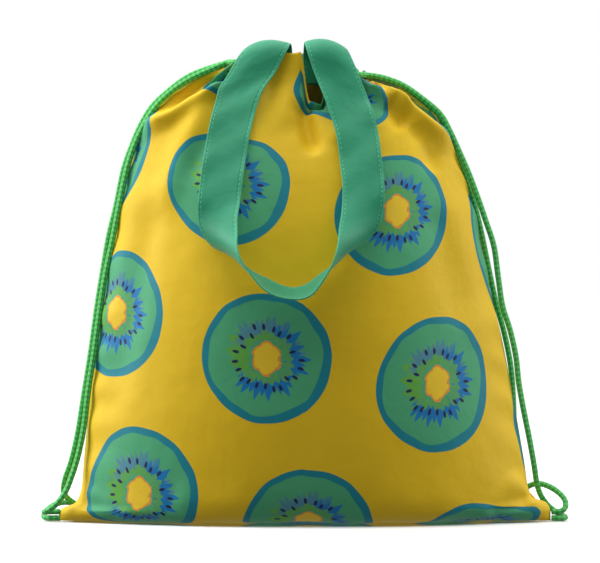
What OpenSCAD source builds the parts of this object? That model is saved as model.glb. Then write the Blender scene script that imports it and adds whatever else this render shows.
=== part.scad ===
// Drawstring bag with two carry handles, standing with its mouth gathered shut.
// Units are millimetres. X runs along the bottom seam, -Y is the front, +Z is up.
// The origin is the middle of the bottom seam, on the surface that the bag stands on.

/* [Bag] */
// Thickness of the folded cloth wall
cloth_t = 1.2; // [1:0.1:1.6]
// Half depth of the standing base, from the bottom seam to its front edge
base_depth = 48; // [44:1:52]
// Half depth of the bag at its fullest level
belly_depth = 64; // [60:1:66]

/* [Mouth] */
// Width of the gathered mouth
mouth_w = 84; // [80:1:86]
// Height of the folded hem that makes the drawstring channel
hem_h = 21; // [20:1:22]
// Thickness of the hem with its channel
hem_t = 8; // [7.5:0.5:8]
// Half the gap between the front and back hems
mouth_gap = 7; // [7:0.5:8]

/* [Handles] */
// Width of a handle strap
strap_w = 28; // [26:1:30]
// Thickness of the folded strap
strap_t = 1.6; // [1.2:0.1:2]

/* [Drawstrings] */
// Diameter of the braided cord
cord_d = 4; // [3:0.2:4]

/* [Hidden] */

cloth_yellow = [0.93, 0.76, 0.16];
strap_green = [0.16, 0.56, 0.40];
cord_green = [0.20, 0.68, 0.28];
thread_green = [0.45, 0.78, 0.55];
thread_yellow = [0.85, 0.66, 0.15];

// Gap between faces of one body that only touch.
touch_gap = 0.05;
// Gap between faces of bodies that move apart.
run_gap = 0.3;

// ---- Levels of the wall, from the base to the hem ----
// Each level has the centre's height, its share of the belly depth,
// and the two side seams' distance from the middle and height.
// [height, depth share, left x, left z, right x, right z]
levels = [
    [0, base_depth / belly_depth, 166, 0, 163, 0],
    [6, 0.82, 165, 9, 166, 8],
    [11, 0.86, 154, 14, 158, 15],
    [20, 0.90, 151, 23, 150, 24],
    [40, 0.95, 150, 44, 147, 42],
    [80, 1.00, 146, 84, 140, 82],
    [120, 0.99, 141, 124, 133, 122],
    [160, 0.94, 134, 164, 123, 162],
    [198, 0.84, 125, 206, 115, 203],
    [230, 0.70, 118, 240, 105, 238],
    [254, 0.55, 112, 262, 95, 259],
    [272, 0.41, 101, 275, 83, 272],
    [284, 0.29, 84, 287, 68, 284],
    [292, 0.20, 60, 296, 48, 292.5],
];
wall_columns = 24;
// Curvature of a level seen from above: 2 is a circle's, more is fuller.
level_power = 2.4;
level_round = 0.8;

// Middle of the gathered mouth, which sits a little to the left.
mouth_x = -6;
hem_z = 296.5;
hem_y = mouth_gap + hem_t / 2;
hem_wall = 1.4;
mouth_left = mouth_x - mouth_w / 2;
mouth_right = mouth_x + mouth_w / 2;
// Heights of the two cords inside the channel.
left_cord_z = 310.5;
right_cord_z = 302;

// ---- Curves through points ----
function blend4(a, b, c, d, f) =
    0.5 * (2 * b + (c - a) * f + (2 * a - 5 * b + 4 * c - d) * f * f + (3 * b - a - 3 * c + d) * f * f * f);
function curve_at(pts, u) =
    let (n = len(pts) - 1, i = min(floor(u * n), n - 1))
    blend4(pts[max(i - 1, 0)], pts[i], pts[i + 1], pts[min(i + 2, n)], u * n - i);
function unit(v) = v / norm(v);
function flat_list(rows) = [for (row = rows) each row];

// ---- Panel: a closed shell between an outer and an inner sheet ----
function fullness(s) = pow(max(0, 1 - pow(abs(s), level_power)), level_round);
function wall_point(level, s, inset, floor_z) =
    let (side = s < 0 ? level[2] : level[4],
         side_z = s < 0 ? level[3] : level[5],
         z = level[0] + (side_z - level[0]) * s * s)
    [s * (side - inset), -touch_gap - (level[1] * belly_depth - inset) * fullness(s), max(z, floor_z)];
function seam_point(s, inset, floor_z) = let (p = wall_point(levels[0], s, inset, floor_z)) [p[0], -touch_gap, floor_z];
function column_s(c) = -cos(180 * c / wall_columns);
function sheet_points(inset, floor_z) = flat_list([
    [for (c = [0 : wall_columns]) seam_point(column_s(c), inset, floor_z)],
    for (level = levels) [for (c = [0 : wall_columns]) wall_point(level, column_s(c), inset, floor_z)]
]);

// Index of a point; the two ends of the seam row are the ends of the base row.
function at_grid(layer, row, col, rows, cols) =
    layer * rows * cols + ((row == 0 && (col == 0 || col == cols - 1)) ? cols : row * cols) + col;
function real_triangle(f) = f[0] != f[1] && f[1] != f[2] && f[2] != f[0];
function quad(a, b, c, d) = [for (f = [[a, b, c], [a, c, d]]) if (real_triangle(f)) f];

module panel_shell() {
    rows = len(levels) + 1;
    cols = wall_columns + 1;
    outer = [for (r = [0 : rows - 2], c = [0 : cols - 2])
        quad(at_grid(0, r, c, rows, cols), at_grid(0, r + 1, c, rows, cols),
             at_grid(0, r + 1, c + 1, rows, cols), at_grid(0, r, c + 1, rows, cols))];
    inner = [for (r = [0 : rows - 2], c = [0 : cols - 2])
        quad(at_grid(1, r, c, rows, cols), at_grid(1, r, c + 1, rows, cols),
             at_grid(1, r + 1, c + 1, rows, cols), at_grid(1, r + 1, c, rows, cols))];
    bottom = [for (c = [0 : cols - 2])
        quad(at_grid(0, 0, c, rows, cols), at_grid(0, 0, c + 1, rows, cols),
             at_grid(1, 0, c + 1, rows, cols), at_grid(1, 0, c, rows, cols))];
    top = [for (c = [0 : cols - 2])
        quad(at_grid(0, rows - 1, c, rows, cols), at_grid(1, rows - 1, c, rows, cols),
             at_grid(1, rows - 1, c + 1, rows, cols), at_grid(0, rows - 1, c + 1, rows, cols))];
    left = [for (r = [1 : rows - 2])
        quad(at_grid(0, r, 0, rows, cols), at_grid(1, r, 0, rows, cols),
             at_grid(1, r + 1, 0, rows, cols), at_grid(0, r + 1, 0, rows, cols))];
    right = [for (r = [1 : rows - 2])
        quad(at_grid(0, r, cols - 1, rows, cols), at_grid(0, r + 1, cols - 1, rows, cols),
             at_grid(1, r + 1, cols - 1, rows, cols), at_grid(1, r, cols - 1, rows, cols))];
    polyhedron(concat(sheet_points(0, 0), sheet_points(cloth_t, cloth_t)),
               flat_list(concat(outer, inner, bottom, top, left, right)), convexity = 6);
}

module front_panel() { color(cloth_yellow) panel_shell(); }
module back_panel() { color(cloth_yellow) mirror([0, 1, 0]) panel_shell(); }

// ---- Seam allowances, overlocked inside the bag ----
allowance_w = 7;
allowance_t = 1;
allowance_inset = cloth_t + 0.8;
module side_allowance(side) {
    column = side < 0 ? 2 : 4;
    rim = [for (i = [1 : len(levels) - 1])
        [side * (levels[i][column] - allowance_inset), levels[i][column + 1]]];
    inside = [for (i = [len(levels) - 1 : -1 : 1])
        [side * (levels[i][column] - allowance_inset - allowance_w), levels[i][column + 1]]];
    color(thread_yellow) rotate([90, 0, 0]) linear_extrude(allowance_t, center = true) polygon(concat(rim, inside));
}
module left_seam() { side_allowance(-1); }
module right_seam() { side_allowance(1); }
module bottom_seam() {
    seam_len = 2 * 140;
    color(thread_yellow)
        translate([-seam_len / 2, -allowance_t / 2, cloth_t + touch_gap]) cube([seam_len, allowance_t, allowance_w]);
}

// ---- Hem: a flattened tube of cloth that holds both cords ----
module slot_shape(width, height) {
    translate([-width / 2, -height / 2 + width / 2]) square([width, height - width]);
    for (end = [-1, 1]) translate([0, end * (height - width) / 2]) circle(d = width, $fn = 32);
}
module hem(side) {
    color(cloth_yellow) translate([mouth_left, side * hem_y, hem_z + hem_h / 2]) rotate([90, 0, 90])
        linear_extrude(mouth_w) difference() {
            slot_shape(hem_t, hem_h);
            slot_shape(hem_t - 2 * hem_wall, hem_h - 2 * hem_wall);
        }
}
module front_hem() { hem(-1); }
module back_hem() { hem(1); }

// ---- Handles: a strap that hangs as a loop, its flat turning through a quarter turn each way ----
hem_top_z = hem_z + hem_h - hem_t / 2;
left_root_x = -26;
right_root_x = 13;
// The loop starts just outside the fold that carries it over the hem.
root_y = hem_y + hem_t / 2 + touch_gap + 1.5 * strap_t + 3 * run_gap;
root_z = hem_top_z - 2;
// [centre of the strap, direction across its width]
strap_path = [
    [[left_root_x, -root_y, root_z], [1, 0, 0]],
    [[-27, -root_y - 0.8, root_z - 3.5], [1, 0, 0]],
    [[-35, -22, 301], [1, 0, 0]],
    [[-42.5, -27, 291], [1, 0, 0]],
    [[-47.5, -33.5, 277.5], [1, 0, 0]],
    [[-52, -43, 257], [1, 0, 0]],
    [[-55, -51, 237], [1, 0, 0]],
    [[-57, -59, 217], [1, -0.1, 0]],
    [[-58, -65.5, 200], [0.9, -0.45, 0]],
    [[-54.5, -70.5, 187.5], [0.55, -0.85, 0]],
    [[-44, -75, 176], [0.25, -1, -0.15]],
    [[-29, -79, 162.5], [0.05, -1, -0.28]],
    [[-14, -81, 154.8], [0, -1, -0.3]],
    [[0, -81, 156.2], [0, -1, -0.3]],
    [[11, -79.5, 165.5], [-0.05, -1, -0.25]],
    [[21.5, -76, 178], [-0.25, -1, -0.1]],
    [[31, -71, 190], [-0.55, -0.85, 0]],
    [[36, -65, 203], [-0.9, -0.4, 0]],
    [[38, -57, 222], [-1, -0.1, 0]],
    [[36.5, -49, 241], [-1, 0, 0]],
    [[34, -41, 261], [-1, 0, 0]],
    [[29.5, -33.5, 277.5], [-1, 0, 0]],
    [[24.5, -27, 291], [-1, 0, 0]],
    [[19, -22, 301], [-1, 0, 0]],
    [[14, -root_y - 0.8, root_z - 3.5], [-1, 0, 0]],
    [[right_root_x, -root_y, root_z], [-1, 0, 0]],
];
strap_sections = 75;
// Where the strap slants, its sections stay parallel and lengthen, so that it keeps its width.
function strap_section(u) =
    let (step = 0.004,
         p = curve_at(strap_path, u),
         along = unit(curve_at(strap_path, min(1, u + step))[0] - curve_at(strap_path, max(0, u - step))[0]),
         across = unit(p[1]),
         flat = cross(along, across),
         half = across * strap_w / 2 / norm(flat),
         face = flat / norm(flat) * strap_t / 2)
    [for (k = [[-1, -1], [1, -1], [1, 1], [-1, 1]]) p[0] + half * k[0] + face * k[1]];

// Closed tube through rings of points; each ring has the same number of points.
module skin(rings) {
    n = len(rings[0]);
    last = len(rings) - 1;
    sides = flat_list([for (i = [0 : last - 1], k = [0 : n - 1])
        let (a = i * n + k, b = i * n + (k + 1) % n) [[a, a + n, b + n], [a, b + n, b]]]);
    caps = [[for (k = [0 : n - 1]) k], [for (k = [n - 1 : -1 : 0]) last * n + k]];
    polyhedron(flat_list(rings), concat(sides, caps), convexity = 8);
}
module strap_loop() { skin([for (i = [0 : strap_sections]) strap_section(i / strap_sections)]); }
module front_handle() { color(strap_green) strap_loop(); }
module back_handle() { color(strap_green) mirror([0, 1, 0]) strap_loop(); }

// The strap's two ends: sewn flat inside the mouth, then folded over the top of the hem.
end_drop = 15;
fold_in = hem_t / 2 + touch_gap;
fold_out = fold_in + strap_t;
fold_steps = 16;
function fold_arc(r) = [for (i = [0 : fold_steps]) let (a = 180 * i / fold_steps) r * [-cos(a), sin(a)]];
module strap_ends() {
    profile = concat([[fold_in, -end_drop]], [for (i = [fold_steps : -1 : 0]) fold_arc(fold_in)[i]],
                     fold_arc(fold_out), [[fold_out, -end_drop]]);
    for (x = [left_root_x, right_root_x])
        translate([x - strap_w / 2, -hem_y, hem_top_z]) rotate([90, 0, 90])
            linear_extrude(strap_w) polygon(profile);
}
module front_handle_ends() { color(strap_green) strap_ends(); }
module back_handle_ends() { color(strap_green) mirror([0, 1, 0]) strap_ends(); }

// Box of thread with a cross, on the outer face of the hem.
thread_t = 0.6;
box_w = 22;
box_h = 8;
module box_stitch() {
    difference() {
        square([box_w, box_h], center = true);
        square([box_w - 2 * thread_t, box_h - 2 * thread_t], center = true);
    }
    cross_angle = atan(box_h / box_w);
    for (a = [-cross_angle, cross_angle])
        rotate(a) square([norm([box_w, box_h]) - 2 * thread_t, thread_t], center = true);
}
module strap_stitching() {
    for (x = [left_root_x, right_root_x])
        translate([x, -hem_y - hem_t / 2 - touch_gap, hem_z + hem_h / 2])
            rotate([90, 0, 0]) linear_extrude(thread_t / 2) box_stitch();
}
module front_handle_stitching() { color(thread_green) strap_stitching(); }
module back_handle_stitching() { color(thread_green) mirror([0, 1, 0]) strap_stitching(); }

// ---- Drawstrings inside the channel ----
module channel_run(side, z) {
    color(cord_green) translate([mouth_left, side * hem_y, z]) rotate([0, 90, 0])
        cylinder(h = mouth_w, d = cord_d, $fn = 24);
}
// Half ring that joins the front and back runs past one end of the hems.
module channel_turn(end_x, z, facing) {
    color(cord_green) translate([end_x + facing * run_gap, 0, z]) rotate([0, 0, facing > 0 ? -90 : 90])
        rotate_extrude(angle = 180, $fn = 48) translate([hem_y, 0]) circle(d = cord_d, $fn = 24);
}
module left_drawstring_front_run() { channel_run(-1, left_cord_z); }
module left_drawstring_back_run() { channel_run(1, left_cord_z); }
module left_drawstring_turn() { channel_turn(mouth_right, left_cord_z, 1); }
module right_drawstring_front_run() { channel_run(-1, right_cord_z); }
module right_drawstring_back_run() { channel_run(1, right_cord_z); }
module right_drawstring_turn() { channel_turn(mouth_left, right_cord_z, -1); }

// ---- Drawstrings outside the channel ----
// A tube of the cord's diameter along a smooth curve through pts.
cord_sides = 8;
module cord(pts, rings, up) {
    skin([for (i = [0 : rings])
        let (u = i / rings,
             along = unit(curve_at(pts, min(1, u + 0.002)) - curve_at(pts, max(0, u - 0.002))),
             a = unit(cross(along, up)),
             b = cross(a, along))
        [for (k = [0 : cord_sides - 1])
            curve_at(pts, u) + (a * cos(360 * k / cord_sides) - b * sin(360 * k / cord_sides)) * cord_d / 2]]);
}

strand_y = 2.6;
strand_start = 5;
// Bends that bring both cords together where they leave the channel.
module cord_exits(end_x, z, facing) {
    color(cord_green) for (side = [-1, 1])
        cord([[end_x + facing * run_gap, side * hem_y, z],
              [end_x + facing * 1.3, side * hem_y, z],
              [end_x + facing * 3.6, side * (hem_y - 1.2), z],
              [end_x + facing * 4.6, side * (hem_y - 3.6), z],
              [end_x + facing * 4.6, side * (strand_y + 2.6), z]], 8, [0, 0, 1]);
}
module left_cord_exits() { cord_exits(mouth_left, left_cord_z, -1); }
module right_cord_exits() { cord_exits(mouth_right, right_cord_z, 1); }

// Routes: [x, y, z], from the channel down the side to the corner, where the cord doubles back into the seam.
// The back ones first drop behind the bag, where their slack lies along the floor.
cord_floor = 2.4;
left_front_route = [
    [mouth_left - strand_start, -strand_y, left_cord_z], [-64, -3, 306], [-79, -4, 299], [-92, -4, 290],
    [-102, -4, 280], [-110, -4, 267], [-116, -4, 254], [-120.5, -4.5, 240], [-126, -5, 214],
    [-131, -5.5, 188], [-135.5, -6, 166], [-139.5, -6, 140], [-143, -6, 114], [-147, -6, 88],
    [-150, -6, 63], [-154, -6.5, 44], [-158, -8, 31], [-162, -9.8, 21], [-167.4, -11.2, 13.4],
    [-172, -10.8, 9.4], [-175.6, -8.2, 7.6], [-176.6, -5, 7], [-175.2, -1.8, 6.8], [-172.5, -0.2, 6.8],
    [-169.4, 0, 6.8]];
left_back_route = [
    [mouth_left - strand_start, strand_y, left_cord_z], [-64, 2, 307.5], [-80, 1, 301], [-93, 1, 291.5],
    [-104, 1, 281], [-112, 1, 268], [-118, 1, 254], [-123, 1, 240], [-128.5, 1, 214], [-133.5, 1, 193],
    [-138, 1, 167], [-141.5, 1, 145], [-145.5, 1, 116], [-150, 1, 88], [-154.5, 1, 60], [-159, 2, 41],
    [-163.5, 4.5, 28], [-164.5, 10, 19], [-159, 19, 12], [-148, 29, 6], [-132, 40, cord_floor],
    [-100, 50, cord_floor], [-64, 54, cord_floor], [-36, 56, cord_floor], [-19, 60.5, cord_floor],
    [-12, 70.5, cord_floor], [-19, 80.5, cord_floor], [-37, 85.5, cord_floor], [-70, 83, cord_floor],
    [-112, 73, cord_floor], [-140, 59, 4], [-155, 45, 8.5], [-164, 33, 11], [-170.5, 23, 10.5],
    [-175, 15.5, 8], [-177.6, 9.6, 5], [-177.6, 5.4, 3.2], [-175.6, 1.9, 2.5], [-172.6, 0.2, 2.4],
    [-169.4, 0, 2.4]];
right_front_route = [
    [mouth_right + strand_start, -strand_y, right_cord_z], [51, -2.4, 300.5], [65, -2, 295.5],
    [79, -1.5, 286], [91, -1, 275.5], [98, -1, 263], [103, -1, 252], [110, -1, 236], [116, -1, 220],
    [121.5, -1, 204], [127, -1, 187], [130, -1, 166], [133, -1, 146], [138, -1, 130], [142, -1, 112],
    [144, -1, 94], [147, -1, 77], [151, -1, 57], [154.5, 0.5, 38], [156.5, 4, 26], [159.5, 9, 17.5],
    [164, 12.6, 11], [168.8, 13.2, 6.8], [173, 11.2, 4.2], [175.6, 7.8, 3], [175.8, 4.4, 2.6],
    [174, 1.6, 2.4], [171.8, 0.3, 2.4], [169.4, 0, 2.4]];
right_back_route = [
    [mouth_right + strand_start, strand_y, right_cord_z], [51, 2.6, 300], [65, 3, 294.5], [79, 3.5, 284.5],
    [90, 4, 274], [96.5, 4, 262], [101.5, 4, 250], [107.5, 4, 236], [113, 4, 219], [118, 4, 200],
    [124, 4, 171], [129, 5, 148], [135, 7, 126], [139, 9, 106], [141, 13, 86], [142, 19, 64], [142, 27, 38],
    [141.5, 35, 17], [136, 43, 6], [124, 49, cord_floor], [98, 54, cord_floor], [64, 57, cord_floor],
    [36, 58, cord_floor], [20, 62.5, cord_floor], [13, 72, cord_floor], [20, 81.5, cord_floor],
    [38, 86, cord_floor], [72, 84, cord_floor], [108, 74, cord_floor], [131, 60, 4.8], [145, 46, 13],
    [152, 33, 21.5], [159, 22.5, 24.5], [166.5, 14.5, 22.5], [172.5, 9, 18.4], [175.6, 5.4, 14.4],
    [176, 2.6, 10.8], [174.6, 0.8, 8.2], [172.2, 0.1, 7], [169.4, 0, 6.8]];

front_strand_rings = 52;
back_strand_rings = 80;
cord_up = [0.2, 1, 0.35];
module left_front_strand() { color(cord_green) cord(left_front_route, front_strand_rings, cord_up); }
module left_back_strand() { color(cord_green) cord(left_back_route, back_strand_rings, cord_up); }
module right_front_strand() { color(cord_green) cord(right_front_route, front_strand_rings, cord_up); }
module right_back_strand() { color(cord_green) cord(right_back_route, back_strand_rings, cord_up); }

// ---- Corners: the two ends of each drawstring come out of the seam here ----
ends_len = 3;
lower_end_z = 2.4;
upper_end_z = 6.8;
module corner_ends(side, seam_x) {
    color(cord_green) for (z = [lower_end_z, upper_end_z])
        translate([side * (seam_x + touch_gap), 0, z]) rotate([0, side * 90, 0])
            cylinder(h = ends_len, d = cord_d, $fn = 24);
}
module left_corner_ends() { corner_ends(-1, levels[0][2]); }
module right_corner_ends() { corner_ends(1, levels[1][4]); }

front_panel();
back_panel();
left_seam();
right_seam();
bottom_seam();
front_hem();
back_hem();
front_handle();
back_handle();
front_handle_ends();
back_handle_ends();
front_handle_stitching();
back_handle_stitching();
left_drawstring_front_run();
left_drawstring_back_run();
left_drawstring_turn();
right_drawstring_front_run();
right_drawstring_back_run();
right_drawstring_turn();
left_cord_exits();
right_cord_exits();
left_front_strand();
left_back_strand();
right_front_strand();
right_back_strand();
left_corner_ends();
right_corner_ends();
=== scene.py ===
"""A filled drawstring bag with two carry handles, standing with its mouth gathered.

The cloth is two panels, worked out level by level from the bottom seam to the hem: each level is as long as
the flat cloth is wide, and what the filled shape doesn't take up is gathered into pleats.
Lengths are in millimetres, and become metres where a mesh is made. The lights' places, the heights of bumps
and the heights where a blend starts and ends are in metres.
"""
import math

import bpy
import numpy as np
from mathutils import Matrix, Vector


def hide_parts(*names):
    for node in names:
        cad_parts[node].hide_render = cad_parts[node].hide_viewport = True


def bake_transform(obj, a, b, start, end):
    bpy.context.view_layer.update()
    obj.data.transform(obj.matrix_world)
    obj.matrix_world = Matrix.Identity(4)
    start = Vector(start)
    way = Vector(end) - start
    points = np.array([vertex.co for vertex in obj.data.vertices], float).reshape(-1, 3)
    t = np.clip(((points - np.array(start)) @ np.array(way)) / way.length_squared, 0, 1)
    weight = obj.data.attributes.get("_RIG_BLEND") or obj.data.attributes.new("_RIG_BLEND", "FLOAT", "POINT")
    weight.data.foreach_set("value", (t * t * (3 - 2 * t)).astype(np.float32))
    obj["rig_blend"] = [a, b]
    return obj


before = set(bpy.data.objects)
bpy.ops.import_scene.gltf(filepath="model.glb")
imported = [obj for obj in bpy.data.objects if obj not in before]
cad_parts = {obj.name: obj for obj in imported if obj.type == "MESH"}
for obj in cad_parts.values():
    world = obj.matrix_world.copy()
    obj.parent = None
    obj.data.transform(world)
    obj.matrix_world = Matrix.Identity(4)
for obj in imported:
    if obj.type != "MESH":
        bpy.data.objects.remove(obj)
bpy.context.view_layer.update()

MM = 0.001
SEAM_HALF = 170.0
CLOTH_HEIGHT = 410.0
CORD_D = 4.0
STRAP_W = 28.0
STRAP_T = 1.2
STITCH_IN = 2.0

# ---------------------------------------------------------------- camera

CAMERA_X = -4.0
CAMERA_Z = 162.5
CAMERA_DISTANCE = 2300.0
FRAME_WIDTH = 406.0
SENSOR = 36.0


def make_camera():
    data = bpy.data.cameras.new("camera")
    data.sensor_width = SENSOR
    data.lens = SENSOR * CAMERA_DISTANCE / FRAME_WIDTH
    data.clip_end = 20.0
    camera = bpy.data.objects.new("camera", data)
    camera.location = (CAMERA_X * MM, -CAMERA_DISTANCE * MM, CAMERA_Z * MM)
    camera.rotation_euler = (math.radians(90), 0, 0)
    bpy.context.scene.collection.objects.link(camera)
    bpy.context.scene.camera = camera


make_camera()


# ---------------------------------------------------------------- mesh helpers


def new_mesh(name, verts, faces):
    """A smooth mesh object: verts are in millimetres."""
    mesh = bpy.data.meshes.new(name)
    mesh.from_pydata((np.asarray(verts, float) * MM).tolist(), [], [list(map(int, f)) for f in faces])
    mesh.update()
    mesh.polygons.foreach_set("use_smooth", [True] * len(mesh.polygons))
    obj = bpy.data.objects.new(name, mesh)
    bpy.context.scene.collection.objects.link(obj)
    return obj


def add_attribute(obj, name, values):
    """One vector for each vertex."""
    attribute = obj.data.attributes.new(name, "FLOAT_VECTOR", "POINT")
    attribute.data.foreach_set("vector", np.asarray(values, np.float32).ravel())


def grid_faces(rows, cols, closed=False, flip=False):
    """Quads between the rows of a grid: closed joins the last column to the first."""
    faces = []
    last = cols if closed else cols - 1
    for r in range(rows - 1):
        for c in range(last):
            a = r * cols + c
            b = r * cols + (c + 1) % cols
            face = (a, b, b + cols, a + cols)
            faces.append(face[::-1] if flip else face)
    return faces


def apply_modifiers(obj):
    depsgraph = bpy.context.evaluated_depsgraph_get()
    mesh = bpy.data.meshes.new_from_object(obj.evaluated_get(depsgraph))
    old = obj.data
    obj.modifiers.clear()
    obj.data = mesh
    bpy.data.meshes.remove(old)


def smoothstep(x, low, high):
    t = np.clip((x - low) / (high - low), 0, 1)
    return t * t * (3 - 2 * t)


def curve_through(points, samples):
    """A smooth curve through the points, cut into evenly spaced samples, and its length."""
    pts = np.asarray(points, float)
    chord = np.sqrt(np.linalg.norm(np.diff(pts, axis=0), axis=1))
    knots = np.concatenate([[0], np.cumsum(chord)])
    slopes = np.gradient(pts, knots, axis=0)
    dense = np.linspace(0, knots[-1], 40 * len(pts))
    i = np.clip(np.searchsorted(knots, dense, side="right") - 1, 0, len(pts) - 2)
    h = (knots[i + 1] - knots[i])[:, None]
    t = ((dense - knots[i]) / h[:, 0])[:, None]
    out = (
        (2 * t**3 - 3 * t**2 + 1) * pts[i]
        + (t**3 - 2 * t**2 + t) * h * slopes[i]
        + (-2 * t**3 + 3 * t**2) * pts[i + 1]
        + (t**3 - t**2) * h * slopes[i + 1]
    )
    length = np.concatenate([[0], np.cumsum(np.linalg.norm(np.diff(out[:, :3], axis=0), axis=1))])
    where = np.linspace(0, length[-1], samples)
    return np.stack([np.interp(where, length, out[:, k]) for k in range(out.shape[1])], 1), length[-1]


# ---------------------------------------------------------------- cords

# The routes of part.scad, from the channel down the side to the bottom corner.
ROUTES = {
    "left_front_strand": [
        (-53, -2.6, 310.5), (-64, -3, 306), (-79, -4, 299), (-92, -4, 290), (-102, -4, 280), (-110, -4, 267),
        (-116, -4, 254), (-120.5, -4.5, 240), (-126, -5, 214), (-131, -5.5, 188), (-135.5, -6, 166),
        (-139.5, -6, 140), (-143, -6, 114), (-147, -6, 88), (-150, -6, 63), (-154, -6.5, 44), (-158, -8, 31),
        (-162, -9.8, 21), (-167.4, -11.2, 13.4), (-172, -10.8, 9.4), (-175.6, -8.2, 7.6), (-176.6, -5, 7),
        (-175.2, -1.8, 6.8), (-172.5, -0.2, 6.8), (-169.4, 0, 6.8)],
    "left_back_strand": [
        (-53, 2.6, 310.5), (-64, 2, 307.5), (-80, 1, 301), (-93, 1, 291.5), (-104, 1, 281), (-112, 1, 268),
        (-118, 1, 254), (-123, 1, 240), (-128.5, 1, 214), (-133.5, 1, 193), (-138, 1, 167), (-141.5, 1, 145),
        (-145.5, 1, 116), (-150, 1, 88), (-154.5, 1, 60), (-159, 2, 41), (-163.5, 4.5, 28), (-164.5, 10, 19),
        (-159, 19, 12), (-148, 29, 6), (-132, 40, 2.4), (-100, 50, 2.4), (-64, 54, 2.4), (-36, 56, 2.4),
        (-19, 60.5, 2.4), (-12, 70.5, 2.4), (-19, 80.5, 2.4), (-37, 85.5, 2.4), (-70, 83, 2.4),
        (-112, 73, 2.4), (-140, 59, 4), (-155, 45, 8.5), (-164, 33, 11), (-170.5, 23, 10.5), (-175, 15.5, 8),
        (-177.6, 9.6, 5), (-177.6, 5.4, 3.2), (-175.6, 1.9, 2.5), (-172.6, 0.2, 2.4), (-169.4, 0, 2.4)],
    "right_front_strand": [
        (41, -2.6, 302), (51, -2.4, 300.5), (65, -2, 295.5), (79, -1.5, 286), (91, -1, 275.5), (98, -1, 263),
        (103, -1, 252), (110, -1, 236), (116, -1, 220), (121.5, -1, 204), (127, -1, 187), (130, -1, 166),
        (133, -1, 146), (138, -1, 130), (142, -1, 112), (144, -1, 94), (147, -1, 77), (151, -1, 57),
        (154.5, 0.5, 38), (156.5, 4, 26), (159.5, 9, 17.5), (164, 12.6, 11), (168.8, 13.2, 6.8),
        (173, 11.2, 4.2), (175.6, 7.8, 3), (175.8, 4.4, 2.6), (174, 1.6, 2.4), (171.8, 0.3, 2.4),
        (169.4, 0, 2.4)],
    "right_back_strand": [
        (41, 2.6, 302), (51, 2.6, 300), (65, 3, 294.5), (79, 3.5, 284.5), (90, 4, 274), (96.5, 4, 262),
        (101.5, 4, 250), (107.5, 4, 236), (113, 4, 219), (118, 4, 200), (124, 4, 171), (129, 5, 148),
        (135, 7, 126), (139, 9, 106), (141, 13, 86), (142, 19, 64), (142, 27, 38), (141.5, 35, 17),
        (136, 43, 6), (124, 49, 2.4), (98, 54, 2.4), (64, 57, 2.4), (36, 58, 2.4), (20, 62.5, 2.4),
        (13, 72, 2.4), (20, 81.5, 2.4), (38, 86, 2.4), (72, 84, 2.4), (108, 74, 2.4), (131, 60, 4.8),
        (145, 46, 13), (152, 33, 21.5), (159, 22.5, 24.5), (166.5, 14.5, 22.5), (172.5, 9, 18.4),
        (175.6, 5.4, 14.4), (176, 2.6, 10.8), (174.6, 0.8, 8.2), (172.2, 0.1, 7), (169.4, 0, 6.8)],
}
CORD_END_X = 166.2
BRAID_SIDES = 16
BRAID_STEP = 1.3
BRAID_PITCH = 7.0
BRAID_CARRIERS = 4
CORD_FLOOR_GAP = 0.1


def braided_tube(name, route):
    """A tube that rises and falls with the strands of a round braid, its middle line and its length."""
    _, length = curve_through(route, 10)
    count = int(length / BRAID_STEP)
    line, length = curve_through(route, count)
    tangent = np.gradient(line, axis=0)
    tangent /= np.linalg.norm(tangent, axis=1)[:, None]
    side = np.cross(tangent[0], [0.2, 1, 0.35])
    side /= np.linalg.norm(side)
    verts, coords = [], []
    angle = np.arange(BRAID_SIDES) * 2 * math.pi / BRAID_SIDES
    for k in range(count):
        side = side - tangent[k] * side.dot(tangent[k])
        side /= np.linalg.norm(side)
        other = np.cross(tangent[k], side)
        along = k * length / (count - 1)
        phase = 2 * math.pi * along / BRAID_PITCH
        crossing = np.cos(BRAID_CARRIERS * angle + phase) * np.cos(BRAID_CARRIERS * angle - phase)
        radius = CORD_D / 2 * (0.97 + 0.05 * crossing)
        ring = line[k] + side * (np.cos(angle) * radius)[:, None] + other * (np.sin(angle) * radius)[:, None]
        ring[:, 2] = np.maximum(ring[:, 2], CORD_FLOOR_GAP)
        verts.append(ring)
        coords.append(np.stack([angle * 2.0, np.full(BRAID_SIDES, along), np.zeros(BRAID_SIDES)], 1))
    verts = np.concatenate(verts)
    faces = grid_faces(count, BRAID_SIDES, closed=True)
    first, last = list(range(BRAID_SIDES))[::-1], [(count - 1) * BRAID_SIDES + i for i in range(BRAID_SIDES)]
    obj = new_mesh(name, verts, faces + [first, last])
    add_attribute(obj, "braid", np.concatenate(coords))
    return obj, line, length


# Where each strand comes out of the hem, before the first point of its route.
LEAD_INS = {
    "left_front_strand": [(-45.5, -9.4, 310.5), (-49.3, -7.2, 310.5)],
    "left_back_strand": [(-45.5, 9.4, 310.5), (-49.3, 7.2, 310.5)],
    "right_front_strand": [(33.5, -9.4, 302), (37.3, -7.2, 302)],
    "right_back_strand": [(33.5, 9.4, 302), (37.3, 7.2, 302)],
}
# The bends of each cord at the far end of the channel, from the front hem round to the back one.
TURNS = {
    "left_drawstring_turn": [(24, -10.4, 309), (28.5, -9.6, 308), (32.4, -6, 305.5), (34, 0, 304.5),
                             (32.4, 6, 305.5), (28.5, 9.6, 308), (24, 10.4, 309)],
    "right_drawstring_turn": [(-40, -10.4, 302), (-44.5, -9.4, 301.4), (-48, -5.8, 300.6), (-49.6, 0, 300.4),
                              (-48, 5.8, 300.6), (-44.5, 9.4, 301.4), (-40, 10.4, 302)],
}


def metres(point):
    return tuple(c * MM for c in point)


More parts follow.
